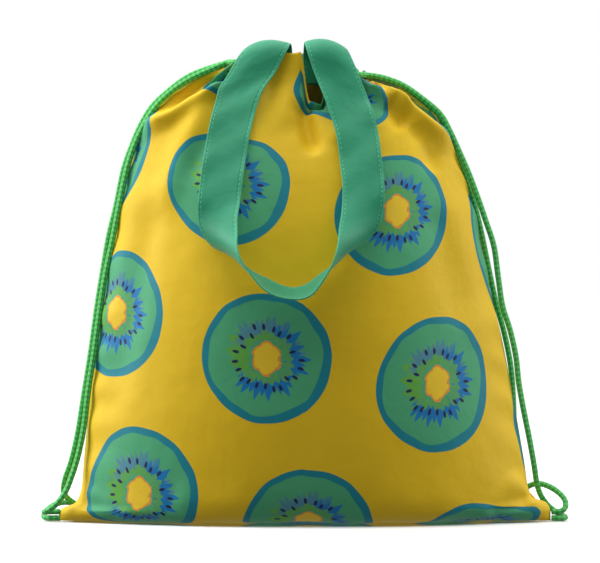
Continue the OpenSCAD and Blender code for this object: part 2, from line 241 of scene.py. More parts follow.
def make_cords(material):
    # Each half of a turn follows the hem on its side.
    for node, route in TURNS.items():
        middle = len(route) // 2
        for mouth, half in (("front_mouth", route[middle::-1]), ("back_mouth", route[middle:])):
            obj, _, _ = braided_tube(node + "_" + mouth.split("_")[0] + "_braid", half)
            obj.data.materials.append(material)
            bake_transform(obj, "bag", mouth, start=metres(half[0]), end=metres(half[-1]))
            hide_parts(node)
    for node, route in ROUTES.items():
        end = (math.copysign(CORD_END_X, route[-1][0]), 0, route[-1][2])
        obj, line, length = braided_tube(node + "_braid", LEAD_INS[node] + route + [end])
        obj.data.materials.append(material)
        # Its first part follows the hem that it comes out of, and the rest stays with the bag.
        if node.endswith("front_strand"):
            mouth = "front_mouth"
            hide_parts(node)
        else:
            mouth = "back_mouth"
            cord = node.split("_")[0]
            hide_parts(node, cord + "_cord_exits", cord + "_corner_ends")
        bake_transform(obj, "bag", mouth, start=metres(route[3]), end=metres(LEAD_INS[node][1]))


# ---------------------------------------------------------------- node helpers


class Nodes:
    """Short names for the shader nodes that the materials use."""

    def __init__(self, name):
        self.material = bpy.data.materials.new(name)
        self.material.use_nodes = True
        self.tree = self.material.node_tree
        self.shader = self.tree.nodes["Principled BSDF"]

    def node(self, kind, **settings):
        """A new node with the settings given."""
        made = self.tree.nodes.new(kind)
        for key, value in settings.items():
            setattr(made, key, value)
        return made

    def feed(self, socket, value):
        if isinstance(value, bpy.types.NodeSocket):
            self.tree.links.new(value, socket)
        elif isinstance(value, (tuple, list)) and len(value) == 3 and socket.type == "RGBA":
            socket.default_value = (*value, 1)
        else:
            socket.default_value = value

    def math(self, operation, a, b=0.0):
        made = self.node("ShaderNodeMath", operation=operation)
        for socket, value in zip(made.inputs, (a, b)):
            self.feed(socket, value)
        return made.outputs[0]

    def add(self, a, b):
        return self.math("ADD", a, b)

    def sub(self, a, b):
        return self.math("SUBTRACT", a, b)

    def mul(self, a, b):
        return self.math("MULTIPLY", a, b)

    def step(self, value, low, high):
        """0 below low, 1 above high, smooth between."""
        made = self.node("ShaderNodeMapRange", interpolation_type="SMOOTHSTEP")
        self.feed(made.inputs["Value"], value)
        self.feed(made.inputs["From Min"], low)
        self.feed(made.inputs["From Max"], high)
        return made.outputs[0]

    def mix(self, factor, a, b):
        made = self.node("ShaderNodeMix", data_type="RGBA")
        self.feed(made.inputs["Factor"], factor)
        self.feed(made.inputs["A"], a)
        self.feed(made.inputs["B"], b)
        return made.outputs["Result"]

    def attribute(self, name):
        """A vector attribute of the mesh: the vector, then its three parts."""
        made = self.node("ShaderNodeAttribute", attribute_type="GEOMETRY", attribute_name=name)
        split = self.node("ShaderNodeSeparateXYZ")
        self.tree.links.new(made.outputs["Vector"], split.inputs[0])
        return made.outputs["Vector"], split.outputs[0], split.outputs[1], split.outputs[2]

    def vector(self, x, y, z=0.0):
        made = self.node("ShaderNodeCombineXYZ")
        for socket, value in zip(made.inputs, (x, y, z)):
            self.feed(socket, value)
        return made.outputs[0]

    def noise(self, vector, scale, detail=2.0):
        made = self.node("ShaderNodeTexNoise")
        self.feed(made.inputs["Vector"], vector)
        self.feed(made.inputs["Scale"], scale)
        self.feed(made.inputs["Detail"], detail)
        return made.outputs[0]

    def random(self, vector):
        made = self.node("ShaderNodeTexWhiteNoise", noise_dimensions="2D")
        self.feed(made.inputs["Vector"], vector)
        return made.outputs["Value"]

    def bump(self, height, distance, strength=1.0, normal=None):
        made = self.node("ShaderNodeBump")
        self.feed(made.inputs["Height"], height)
        self.feed(made.inputs["Distance"], distance)
        self.feed(made.inputs["Strength"], strength)
        if normal is not None:
            self.feed(made.inputs["Normal"], normal)
        return made.outputs[0]

    def set(self, name, value):
        self.feed(self.shader.inputs[name], value)


def srgb(r, g, b):
    """0-255 screen colour to the linear colour that shaders use."""
    def linear(c):
        c /= 255
        return c / 12.92 if c <= 0.04045 else ((c + 0.055) / 1.055) ** 2.4
    return (linear(r), linear(g), linear(b))


# ---------------------------------------------------------------- printed cloth

FRUIT_D = 87.0
FLESH_R = 38.5
CORE_LINE_R = 11.2
CORE_R = 9.7
SEED_COUNT = 23.0
SEED_NEAREST = 17.0
SEED_SPREAD = 6.5
FIRST_FRUIT = (-26.0, 158.5)
ACROSS = (116.0, -21.0)
DOWN = (27.5, -118.0)
WEAVE_PITCH = 0.7

YELLOW = srgb(238, 197, 12)
RIM = srgb(0, 132, 148)
FLESH = srgb(76, 172, 120)
LIME = srgb(98, 176, 62)
BLUE = srgb(0, 122, 188)
SLATE = srgb(78, 142, 162)
SEED = srgb(18, 32, 86)
CORE = srgb(246, 206, 40)
CORE_LINE = srgb(236, 150, 52)


def fruit_print(n, s, t):
    """Slices of fruit in a slanted grid: s and t are places on the flat cloth, in millimetres."""
    ds, dt = n.sub(s, FIRST_FRUIT[0]), n.sub(t, FIRST_FRUIT[1])
    det = ACROSS[0] * DOWN[1] - ACROSS[1] * DOWN[0]
    i = n.add(n.mul(ds, DOWN[1] / det), n.mul(dt, -DOWN[0] / det))
    j = n.add(n.mul(ds, -ACROSS[1] / det), n.mul(dt, ACROSS[0] / det))
    i, j = n.math("ROUND", i), n.math("ROUND", j)
    x = n.sub(ds, n.add(n.mul(i, ACROSS[0]), n.mul(j, DOWN[0])))
    y = n.sub(dt, n.add(n.mul(i, ACROSS[1]), n.mul(j, DOWN[1])))
    radius = n.math("SQRT", n.add(n.mul(x, x), n.mul(y, y)))
    turn = n.math("DIVIDE", n.math("ARCTAN2", y, x), 2 * math.pi)
    place = n.vector(x, y)
    wobble = n.sub(n.noise(place, 0.035, 1.0), 0.5)
    jagged = n.sub(n.noise(place, 0.22, 2.0), 0.5)

    def toward(angle, low, high):
        """How far this point's direction from the middle lies toward an angle, in degrees."""
        facing = n.math("COSINE", n.sub(n.mul(turn, 2 * math.pi), math.radians(angle)))
        return n.step(facing, low, high)

    def ray(count, seed, start, reach, spread):
        """Pointed strokes that run outwards: each has its own length."""
        across = n.mul(n.add(turn, 0.5), count)
        cell = n.math("FLOOR", across)
        off = n.math("ABSOLUTE", n.sub(n.math("FRACT", across), 0.5))
        chance = n.random(n.vector(cell, seed))
        other = n.random(n.vector(cell, seed + 5.5))
        low = n.add(start, n.mul(chance, spread * 0.4))
        high = n.add(reach, n.mul(other, spread))
        along = n.math("DIVIDE", n.sub(radius, low), n.sub(high, low))
        width = n.mul(n.math("SUBTRACT", 1.0, n.math("ABSOLUTE", n.sub(n.mul(along, 2.0), 0.8))), 0.72)
        return n.step(n.sub(width, off), -0.02, 0.02)

    rim_edge = n.add(radius, n.mul(wobble, 3.0))
    colour = n.mix(n.step(rim_edge, FRUIT_D / 2 - 0.3, FRUIT_D / 2 + 0.3), RIM, YELLOW)
    flesh_x, flesh_y = n.add(x, 0.6), n.sub(y, 0.8)
    flesh_r = n.math("SQRT", n.add(n.mul(flesh_x, flesh_x), n.mul(flesh_y, flesh_y)))
    flesh_edge = n.add(flesh_r, n.mul(wobble, 8.0))
    colour = n.mix(n.step(flesh_edge, FLESH_R - 0.3, FLESH_R + 0.3), FLESH, colour)
    strokes = [
        (ray(19.0, 1.5, 12.0, 22.0, 9.0), n.add(0.35, n.mul(toward(160.0, -0.2, 0.6), 0.6)), LIME),
        (ray(41.0, 7.5, 13.0, 26.0, 6.0), toward(70.0, -0.1, 0.3), SLATE),
        (ray(37.0, 3.5, 12.0, 22.0, 10.0), toward(-45.0, -0.35, -0.1), BLUE),
        (ray(53.0, 13.5, 12.0, 21.0, 8.0), toward(-20.0, -0.3, 0.1), BLUE),
        (ray(23.0, 9.5, 11.0, 17.0, 6.0), 0.8, LIME),
    ]
    for shape, strength, paint in strokes:
        colour = n.mix(n.mul(shape, strength), colour, paint)
    # Seeds: small ovals, each at its own distance from the core.
    across = n.mul(n.add(turn, 0.5), SEED_COUNT)
    cell = n.math("FLOOR", across)
    chance = n.random(n.vector(cell, 12.5))
    shift = n.mul(n.sub(n.random(n.vector(cell, 15.5)), 0.5), 0.3)
    arc = n.mul(n.mul(n.sub(n.sub(n.math("FRACT", across), 0.5), shift), radius), 2 * math.pi / SEED_COUNT)
    out = n.sub(radius, n.add(SEED_NEAREST, n.mul(chance, SEED_SPREAD)))
    oval = n.add(n.mul(n.mul(arc, arc), 0.85), n.mul(n.mul(out, out), 0.19))
    kept = n.step(n.random(n.vector(cell, 18.5)), 0.12, 0.14)
    colour = n.mix(n.mul(n.math("SUBTRACT", 1.0, n.step(oval, 0.75, 1.15)), kept), colour, SEED)
    # The core, a blunt star that is taller than it is wide.
    core_x = n.mul(x, 1.16)
    core_r = n.math("SQRT", n.add(n.mul(core_x, core_x), n.mul(y, y)))
    star = n.mul(n.math("COSINE", n.mul(turn, 6 * 2 * math.pi)), 0.7)
    core = n.add(n.add(core_r, star), n.mul(jagged, 5.0))
    colour = n.mix(n.step(core, CORE_LINE_R - 0.2, CORE_LINE_R + 0.2), CORE_LINE, colour)
    return n.mix(n.step(core, CORE_R - 0.2, CORE_R + 0.2), CORE, colour)


def woven(n, s, t):
    """The height of a plain weave."""
    threads = 2 * math.pi / WEAVE_PITCH
    return n.mul(n.math("SINE", n.mul(s, threads)), n.math("SINE", n.mul(t, threads)))


def cloth_material(name, printed):
    n = Nodes(name)
    place, s, t, _ = n.attribute("flat")
    soft = n.noise(place, 0.03, 3.0)
    fine = n.noise(place, 0.9, 2.0)
    weave = woven(n, s, t)
    colour = fruit_print(n, s, t)
    if not printed:
        colour = n.mix(0.22, colour, srgb(235, 222, 170))
    # Tone that differs at random across the cloth, and a painted shade of the weave that darkens the hollows
    # between the threads.
    shade = n.add(0.93, n.add(n.mul(soft, 0.10), n.mul(weave, 0.025)))
    tinted = n.node("ShaderNodeVectorMath", operation="SCALE")
    n.feed(tinted.inputs[0], colour)
    n.feed(tinted.inputs["Scale"], shade)
    n.set("Base Color", tinted.outputs[0])
    n.set("Roughness", n.add(0.50, n.mul(fine, 0.14)))
    n.set("Specular IOR Level", 0.32)
    n.set("Sheen Weight", 0.10)
    n.set("Sheen Roughness", 0.45)
    crumple = n.bump(n.noise(place, 0.055, 4.0), 0.0016, 0.5)
    n.set("Normal", n.bump(weave, 0.00004, 0.6, crumple))
    return n.material


def strap_material():
    n = Nodes("strap_cloth_look")
    place, s, t, _ = n.attribute("flat")
    soft = n.noise(place, 0.05, 3.0)
    weave = woven(n, s, t)
    # A painted highlight: both folded edges of the strap are painted a paler green.
    edge = n.step(n.math("ABSOLUTE", s), STRAP_W / 2 - 2.4, STRAP_W / 2)
    colour = n.mix(n.mul(soft, 0.6), srgb(8, 140, 98), srgb(38, 168, 124))
    colour = n.mix(n.mul(edge, 0.25), colour, srgb(90, 200, 150))
    n.set("Base Color", colour)
    n.set("Roughness", n.add(0.48, n.mul(soft, 0.12)))
    n.set("Sheen Weight", 0.2)
    n.set("Sheen Roughness", 0.4)
    groove = n.sub(n.math("ABSOLUTE", s), STRAP_W / 2 - STITCH_IN)
    stitched = n.math("SUBTRACT", 1.0, n.step(n.math("ABSOLUTE", groove), 0.0, 1.2))
    height = n.sub(n.noise(place, 0.08, 3.0), n.mul(stitched, 0.35))
    crumple = n.bump(height, 0.0012, 0.5)
    n.set("Normal", n.bump(weave, 0.00004, 0.6, crumple))
    return n.material


def thread_material(name, colour):
    n = Nodes(name)
    coords = n.node("ShaderNodeTexCoord")
    twist = n.noise(coords.outputs["Object"], 3000.0, 2.0)
    n.set("Base Color", n.mix(twist, colour, tuple(min(1.0, c * 1.35) for c in colour)))
    n.set("Roughness", 0.6)
    n.set("Sheen Weight", 0.2)
    n.set("Normal", n.bump(twist, 0.0002, 0.6))
    return n.material


def cord_material():
    n = Nodes("braided_cord_look")
    _, around, along, _ = n.attribute("braid")
    turned, advance = n.mul(around, BRAID_CARRIERS / 2.0), n.mul(along, 2 * math.pi / BRAID_PITCH)
    ridge = n.mul(n.math("SINE", n.add(turned, advance)), n.math("SINE", n.sub(turned, advance)))
    yarn = n.math("SINE", n.mul(n.add(n.mul(around, 3.0), n.mul(along, 4.0)), 2.2))
    # Painted light and shade: the braid's raised strands are painted lighter and the hollows between them darker.
    braid_ridge_light_and_shade = n.step(ridge, -0.5, 0.6)
    colour = n.mix(braid_ridge_light_and_shade, srgb(26, 158, 60), srgb(82, 216, 100))
    # Painted highlights along the yarn twists, toward a pale green.
    colour = n.mix(n.mul(n.step(yarn, 0.1, 1.0), 0.25), colour, srgb(150, 235, 150))
    n.set("Base Color", colour)
    n.set("Roughness", 0.5)
    n.set("Sheen Weight", 0.3)
    n.set("Sheen Roughness", 0.35)
    n.set("Normal", n.bump(n.add(ridge, n.mul(yarn, 0.2)), 0.0003, 0.6))
    return n.material


# ---------------------------------------------------------------- bag shape

# From the bottom seam to the top of the hem:
# centre's height, depth in front of the seams, left seam's x and z, right seam's x and z.
LEVELS = np.array([
    (0.0, 0.0, 166.0, 0.3, 166.0, 0.3),
    (0.3, 24.0, 167.5, 1.2, 165.5, 2.4),
    (1.2, 42.0, 167.0, 5.0, 165.5, 7.4),
    (5.0, 50.5, 165.0, 9.0, 162.0, 13.5),
    (13.0, 55.5, 156.0, 13.0, 154.0, 16.2),
    (24.0, 58.5, 152.0, 22.0, 150.5, 23.0),
    (42.0, 61.5, 150.0, 44.0, 147.5, 42.0),
    (80.0, 64.0, 146.0, 84.0, 140.5, 82.0),
    (120.0, 63.5, 141.0, 124.0, 133.0, 122.0),
    (160.0, 60.0, 134.5, 164.0, 123.5, 162.0),
    (198.0, 53.5, 126.0, 206.0, 115.5, 203.0),
    (230.0, 45.0, 119.0, 240.0, 106.0, 236.0),
    (254.0, 36.0, 112.5, 262.0, 96.5, 258.0),
    (272.0, 27.5, 102.0, 279.5, 86.5, 275.0),
    (285.0, 20.5, 87.0, 293.0, 73.0, 287.5),
    (295.0, 16.5, 71.0, 302.0, 60.0, 296.0),
    (303.0, 14.8, 60.0, 305.5, 51.0, 298.5),
    (311.0, 14.2, 54.0, 307.5, 45.0, 299.5),
    (318.0, 13.8, 51.5, 308.5, 41.5, 300.5),
])
ROUND_POWER = 2.3
ROUND_SHAPE = 0.72
HEM_FROM = 290.0
HEM_TO = 308.0


def levels_at(v):
    """LEVELS, smoothly, at v from 0 to 1."""
    knots = np.linspace(0, 1, len(LEVELS))
    gap = knots[1]
    rise = np.diff(LEVELS, axis=0)
    slope = np.zeros_like(LEVELS)
    same = rise[:-1] * rise[1:] > 0
    slope[1:-1][same] = (2 * rise[:-1] * rise[1:] / np.where(same, rise[:-1] + rise[1:], 1))[same]
    slope[0], slope[-1] = rise[0], rise[-1]
    i = np.clip((v / gap).astype(int), 0, len(LEVELS) - 2)
    t = (v / gap - i)[:, None]
    return (
        (2 * t**3 - 3 * t**2 + 1) * LEVELS[i]
        + (t**3 - 2 * t**2 + t) * slope[i]
        + (-2 * t**3 + 3 * t**2) * LEVELS[i + 1]
        + (t**3 - t**2) * slope[i + 1]
    )


def section(level, share):
    """Points of one level of the front wall: share runs from the left seam, -1, to the right seam, 1."""
    z_mid, depth, x_left, z_left, x_right, z_right = level
    # The hem is flatter and squarer than the filled part below it.
    hem = smoothstep(z_mid, HEM_FROM, HEM_TO)
    full = np.maximum(0, 1 - np.abs(share) ** (ROUND_POWER + 3.7 * hem)) ** (ROUND_SHAPE - 0.22 * hem)
    x = np.where(share < 0, share * x_left, share * x_right)
    z_side = np.where(share < 0, z_left, z_right)
    z = z_mid + (z_side - z_mid) * np.abs(share) ** (2 - 0.7 * hem)
    return np.stack([x, -depth * full, z], 1)


GRID_COLS = 171
GRID_ROWS = 205


def panel_grid():
    """Rows of points from the bottom seam up, and where each lies on the flat cloth."""
    v_dense = np.linspace(0, 1, 1200)
    centre = levels_at(v_dense)
    path = np.stack([-centre[:, 1], centre[:, 0]], 1)
    length = np.concatenate([[0], np.cumsum(np.linalg.norm(np.diff(path, axis=0), axis=1))])
    v = np.interp(np.linspace(0, length[-1], GRID_ROWS), length, v_dense)
    levels = levels_at(v)
    flat_s = np.linspace(-SEAM_HALF, SEAM_HALF, GRID_COLS)
    share_dense = np.sin(np.linspace(-math.pi / 2, math.pi / 2, 801))
    rows, squeeze = [], []
    for level in levels:
        curve = section(level, share_dense)
        arc = np.concatenate([[0], np.cumsum(np.linalg.norm(np.diff(curve, axis=0), axis=1))])
        middle = np.interp(0, share_dense, arc)
        wanted = np.zeros(GRID_COLS)
        local = np.zeros(GRID_COLS)
        for sign, room in ((-1, middle), (1, arc[-1] - middle)):
            half = flat_s * sign >= 0
            part = np.abs(flat_s[half]) / SEAM_HALF
            spare = SEAM_HALF - room
            power = min(5.0, max(1.0, 0.92 * SEAM_HALF / max(spare, 1.0)))
            wanted[half] = middle + sign * (part * SEAM_HALF - spare * part**power)
            local[half] = 1 - spare / SEAM_HALF * power * part ** (power - 1)
        share = np.interp(wanted, arc, share_dense)
        rows.append(section(level, share))
        squeeze.append(np.clip(local, 0.12, 1.2))
    points = np.array(rows)
    run = np.concatenate(
        [np.zeros((1, GRID_COLS)), np.cumsum(np.linalg.norm(np.diff(points, axis=0), axis=2), axis=0)])
    part = np.abs(flat_s)[None, :] / SEAM_HALF
    up = run / run[-1:, :]
    late = smoothstep(up, 0.7, 1.0) ** 1.8
    spread = late * (1 - part**3) + up * part**3
    flat_t = run + (CLOTH_HEIGHT - run[-1:, :]) * spread
    # Towards the two bottom corners more of the cloth is tucked under the base, and in the middle less.
    tucked = np.where(flat_s < 0, 25.0, 44.0) * part**1.8 - 5.0 * (1 - part**2)
    fading = np.where(flat_s < 0, 105.0, 75.0)
    flat_t += tucked * smoothstep(run, 0.0, 34.0) * np.exp(-np.maximum(run - 52.0, 0) / fading)
    flat = np.stack([np.broadcast_to(flat_s, flat_t.shape), flat_t, np.zeros_like(flat_t)], 2)
    return points, flat, np.array(squeeze)


def along_polyline(x, z, line):
    """Distance from each (x, z) to a line seen from the front, and how far along it, from 0 to 1."""
    line = np.asarray(line, float)
    seg = np.linalg.norm(np.diff(line, axis=0), axis=1)
    total = seg.sum()
    best = np.full(x.shape, 1e9)
    where = np.zeros(x.shape)
    start = 0.0
    for (ax, az), (bx, bz), size in zip(line[:-1], line[1:], seg):
        dx, dz = (bx - ax) / size, (bz - az) / size
        t = np.clip((x - ax) * dx + (z - az) * dz, 0, size)
        px, pz = x - ax - t * dx, z - az - t * dz
        d = np.hypot(px, pz)
        near = d < best
        best[near] = d[near]
        where[near] = ((start + t) / total)[near]
        start += size
    return best, where


# Folds of the front panel: height outwards, width, and the line that the fold follows, seen from the front.
# A positive height is a ridge, a negative one a valley.
FRONT_FOLDS = [
    (8.0, 5.0, [(-46, 297), (-56, 294), (-66, 290), (-79, 283), (-94, 272), (-104, 268), (-112, 258)]),
    (-8.0, 5.0, [(-46, 303), (-52, 301), (-64, 297), (-80, 288), (-92, 278), (-102, 272)]),
    (8.0, 5.0, [(38, 297), (51, 291), (62, 286), (72, 277), (81, 269), (92, 259), (98, 246)]),
    (-8.0, 4.5, [(38, 303), (52, 297), (64, 290), (76, 281), (87, 270), (94, 261)]),
    (-4.5, 6.0, [(54, 284), (60, 276), (68, 265)]),
    (3.0, 7.0, [(58, 290), (68, 276), (78, 262), (86, 245)]),
    (-4.0, 6.0, [(64, 283), (72, 266), (83, 249), (88, 232)]),
    (-8.0, 5.5, [(3, 286), (-2, 277), (1, 266), (4, 256), (6, 246)]),
    (5.0, 8.0, [(-8, 318), (-10, 300), (-12, 280), (-14, 262)]),
    (3.5, 7.0, [(22, 290), (24, 272), (24, 252)]),
    (-3.5, 7.0, [(-30, 300), (-34, 282), (-38, 262), (-40, 244)]),
    (3.2, 9.0, [(-60, 292), (-72, 272), (-84, 246), (-92, 226), (-96, 200)]),
    (-3.0, 8.0, [(-54, 288), (-62, 268), (-74, 244), (-82, 226)]),
    (2.2, 11.0, [(-108, 236), (-118, 200), (-128, 150), (-134, 110)]),
    (-2.0, 10.0, [(-102, 220), (-110, 180), (-120, 130), (-128, 90), (-134, 60)]),
    (2.0, 12.0, [(96, 230), (106, 190), (116, 150), (126, 100)]),
    (-1.8, 11.0, [(84, 214), (96, 170), (108, 130)]),
    (-3.0, 7.0, [(-158, 14), (-146, 8), (-120, 5)]),
    (2.5, 7.0, [(-166, 12), (-150, 16), (-138, 24)]),
    (-3.2, 7.0, [(152, 17), (140, 9), (120, 4)]),
    (2.6, 8.0, [(164, 13), (146, 22), (134, 34)]),
    (1.6, 12.0, [(-90, 20), (-60, 14), (-30, 20)]),
    (-1.6, 10.0, [(-40, 9), (0, 7), (50, 10)]),
    (1.5, 14.0, [(40, 22), (80, 14), (110, 22)]),
]
BACK_FOLDS = [
    (4.5, 7.0, [(-100, 266), (-80, 284), (-58, 297)]),
    (-5.0, 6.0, [(-98, 276), (-78, 292), (-56, 303)]),
    (4.5, 7.0, [(48, 296), (70, 282), (90, 262)]),
    (-5.0, 6.0, [(50, 303), (72, 290), (90, 272)]),
    (-6.0, 7.0, [(-4, 318), (-5, 290), (-2, 262), (2, 240)]),
    (4.0, 8.0, [(-16, 316), (-20, 286), (-26, 256)]),
    (4.0, 8.0, [(14, 314), (18, 284), (26, 254)]),
    (-3.5, 8.0, [(34, 300), (48, 270), (60, 238)]),
    (3.0, 10.0, [(-44, 298), (-60, 262), (-74, 220)]),
    (2.2, 12.0, [(-96, 236), (-112, 180), (-122, 120)]),
    (-2.0, 12.0, [(90, 226), (104, 170), (114, 110)]),
    (2.4, 8.0, [(-160, 14), (-140, 24)]),
    (2.4, 8.0, [(160, 14), (138, 26)]),
    (-1.8, 12.0, [(-60, 10), (0, 7), (60, 11)]),
]
PLEATS = 11
PLEAT_LIMIT = 5.5
PUCKER_LIMIT = 0.9
FLOOR_GAP = 0.85


def folded(points, flat, squeeze, folds, seed):
    """Pushes the smooth wall in and out along its normals: folds, and pleats where it is gathered."""
    across = np.gradient(points, axis=1)
    upward = np.gradient(points, axis=0)
    normal = np.cross(across, upward)
    size = np.linalg.norm(normal, axis=2, keepdims=True)
    normal = np.where(size > 1e-9, normal / np.maximum(size, 1e-9), (0, -1, 0))
    x, z = points[:, :, 0], points[:, :, 2]
    share = np.abs(flat[:, :, 0]) / SEAM_HALF
    height = flat[:, :, 1] / CLOTH_HEIGHT
    off = np.zeros(x.shape)
    for amount, width, line in folds:
        distance, where = along_polyline(x, z, line)
        ends = smoothstep(where, -0.02, 0.18) * (1 - smoothstep(where, 0.72, 1.02))
        if line[0][1] > 300:
            ends = 1 - smoothstep(where, 0.6, 1.02)
        off += amount * np.exp(-((distance / width) ** 2)) * ends
    # Gathers: the tighter the cloth is drawn together, the deeper they are.
    gather = smoothstep(height, 0.80, 0.97)
    phase = flat[:, :, 0] / (2 * SEAM_HALF) * PLEATS * 2 * math.pi
    drift = 0.9 * np.sin(flat[:, :, 0] * 0.021 + seed) + 0.5 * np.sin(flat[:, :, 0] * 0.047 + 2 * seed)
    pleat = np.sin(phase + drift + 0.6 * np.sin(height * 9 + seed))
    tight = np.clip(1 - squeeze, 0, 1)
    off += PLEAT_LIMIT * gather * tight * pleat * (1 - 0.8 * smoothstep(share, 0.55, 0.9))
    # The spare cloth along the side seams puckers.
    pucker = np.sin(flat[:, :, 1] * 0.21 + 1.7 * np.sin(flat[:, :, 1] * 0.037 + seed))
    pucker = pucker * smoothstep(share, 0.72, 0.99)
    off += PUCKER_LIMIT * pucker * smoothstep(height, 0.06, 0.2) * (1 - smoothstep(height, 0.8, 0.9))
    # The seams and the bottom edge stay where they are.
    calm = smoothstep(1 - share, 0.0, 0.08) * smoothstep(height, 0.02, 0.16)
    gathered = smoothstep(1 - share, 0.0, 0.03) * 0.8
    calm = np.where(height > 0.75, np.maximum(calm, smoothstep(height, 0.75, 0.9) * gathered), calm)
    moved = points + normal * (off * calm)[:, :, None]
    # The edges of the two panels meet along the side seams.
    moved[:, 0, 1] = np.minimum(moved[:, 0, 1], 0)
    moved[:, -1, 1] = np.minimum(moved[:, -1, 1], 0)
    moved[:, :, 1] = np.minimum(moved[:, :, 1], -0.15)
    # The bottom edge is slightly wavy where the cloth turns under.
    wave = 0.9 + 0.6 * np.sin(x * 0.115 + seed) + 0.5 * np.sin(x * 0.052 + 2 * seed)
    low = np.exp(-((np.maximum(z - 1.5, 0) / 7.0) ** 2)) * smoothstep(-points[:, :, 1], 20, 34)
    moved[:, :, 2] += wave * low
    moved[:, :, 2] = np.maximum(moved[:, :, 2], FLOOR_GAP)
    return moved


DIP_DEPTH = 34.0
DIP_CURL = 4.0
LOBE_DROP = 1.5


def dip_mouth(points, flat):
    """Sinks the hem into a deep, round dip between the two ends of the handle, which shows the inside."""
    height = flat[:, :, 1] / CLOTH_HEIGHT
    x = points[:, :, 0]
    upper = smoothstep(height, 0.84, 1.0)
    across = smoothstep(x, -3.5, 1.5) * (1 - smoothstep(x, 10.0, 17.0))
    points[:, :, 2] -= DIP_DEPTH * across * upper
    points[:, :, 1] -= DIP_CURL * across * upper * smoothstep(height, 0.97, 1.0)
    points[:, :, 2] -= LOBE_DROP * np.exp(-(((x + 7.0) / 5.0) ** 2)) * upper
    # The cloth is drawn up between the straps and at the left shoulder, and its print with it.
    drawn = 8.0 * np.exp(-(((x - 12.0) / 17.0) ** 2)) + 13.0 * np.exp(-(((x + 64.0) / 22.0) ** 2))
    flat[:, :, 1] -= drawn * smoothstep(height, 0.74, 0.88)
    return points


CLOTH_T = 0.7


def make_panel(side, cloth_out, cloth_in):
    """One panel with its hem: side is -1 for the front and 1 for the back."""
    points, flat, squeeze = panel_grid()
    front = side < 0
    moved = folded(points, flat, squeeze, FRONT_FOLDS if front else BACK_FOLDS, 1.3 if front else 4.1)
    if front:
        moved = dip_mouth(moved, flat)
    else:
        moved[:, :, 1] *= -1
        flat = flat + np.array([SEAM_HALF * 2, 0, 0])
    face = "front" if front else "back"
    faces = grid_faces(GRID_ROWS, GRID_COLS, flip=not front)
    obj = new_mesh(face + "_cloth", moved.reshape(-1, 3), faces)
    add_attribute(obj, "flat", flat.reshape(-1, 3))
    obj.data.materials.append(cloth_out)
    obj.data.materials.append(cloth_in)
    solid = obj.modifiers.new("thickness", "SOLIDIFY")
    solid.thickness = CLOTH_T * MM
    solid.offset = -1
    solid.material_offset = 1
    solid.material_offset_rim = 0
    apply_modifiers(obj)
    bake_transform(obj, "bag", face + "_mouth", start=(0, side * 0.02, 0.225), end=(0, side * 0.02, 0.300))
    taper_at_seams(obj)
    runs = [end + "_drawstring_" + face + "_run" for end in ("left", "right")]
    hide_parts(face + "_panel", face + "_hem", *runs)


def taper_at_seams(obj):
    """The side seams stay with the bag when the mouth opens."""
    weights = np.zeros(len(obj.data.vertices), np.float32)
    obj.data.attributes["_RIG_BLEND"].data.foreach_get("value", weights)
    place = np.zeros(len(weights) * 3, np.float32)
    obj.data.attributes["flat"].data.foreach_get("vector", place)
    s = place.reshape(-1, 3)[:, 0]
    s = np.where(s > SEAM_HALF * 1.001, s - 2 * SEAM_HALF, s) if s.max() > SEAM_HALF * 1.5 else s
    weights *= 1 - smoothstep(np.abs(s) / SEAM_HALF, 0.72, 1.0)
    obj.data.attributes["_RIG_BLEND"].data.foreach_set("value", weights)


# ---------------------------------------------------------------- handles

# Centre of the strap and the direction across it, from one sewn end inside the mouth to the other.
STRAP_PATH = [
    (-23, -5.6, 296, 1, 0, 0.1), (-23, -5.8, 304, 1, 0, 0.15), (-23, -6.2, 312, 1, 0, 0.2),
    (-23.5, -8.8, 318.5, 1, 0, 0.12), (-25, -13.4, 320.6, 1, 0, 0.12), (-27.5, -18.4, 317.8, 1, 0, 0.18),
    (-31.5, -21.8, 311, 1, 0, 0.26), (-36.5, -24.4, 302, 1, 0, 0.28), (-43, -28, 290.5, 1, 0, 0.18),
    (-47.5, -33.5, 277.5, 1, 0, 0.06),
    (-52, -42, 257, 1, 0, 0), (-55, -50.5, 237, 1, 0, 0), (-57.2, -58.5, 217, 1, -0.1, 0),
    (-58, -65, 200, 0.9, -0.45, 0), (-54.5, -70.5, 187.5, 0.55, -0.85, 0), (-44, -75, 176, 0.25, -1, -0.15),
    (-29, -79, 162.5, 0.05, -1, -0.28), (-14, -81, 154.8, 0, -1, -0.3), (0, -81, 156.2, 0, -1, -0.3),
    (11, -79.5, 165.5, -0.05, -1, -0.25), (21.5, -76, 178, -0.25, -1, -0.1), (31, -71, 190, -0.55, -0.85, 0),
    (36, -64.5, 203, -0.9, -0.4, 0), (38, -56.5, 222, -1, -0.1, 0), (36.5, -48.5, 241, -1, 0, 0),
    (34, -40.5, 261, -1, 0, 0), (29.5, -33.5, 277.5, -1, 0, 0.08), (24.5, -28, 291, -1, 0, 0.24),
    (20, -24.4, 303, -1, 0, 0.32), (16.6, -21.6, 312.5, -1, 0, 0.28), (14.4, -18, 318.4, -1, 0, 0.22),
    (13, -13.2, 321, -1, 0, 0.18), (12.4, -8.8, 318.6, -1, 0, 0.16), (12, -6.2, 312, -1, 0, 0.14),
    (12, -5.8, 304, -1, 0, 0.1), (12, -5.6, 296, -1, 0, 0)]
STRAP_COLS = 13
STRAP_ROWS = 190
STITCH_PITCH = 3.2
CREST_ARCH = -4.4
CREST_AT = 30
CREST_WIDTH = 20


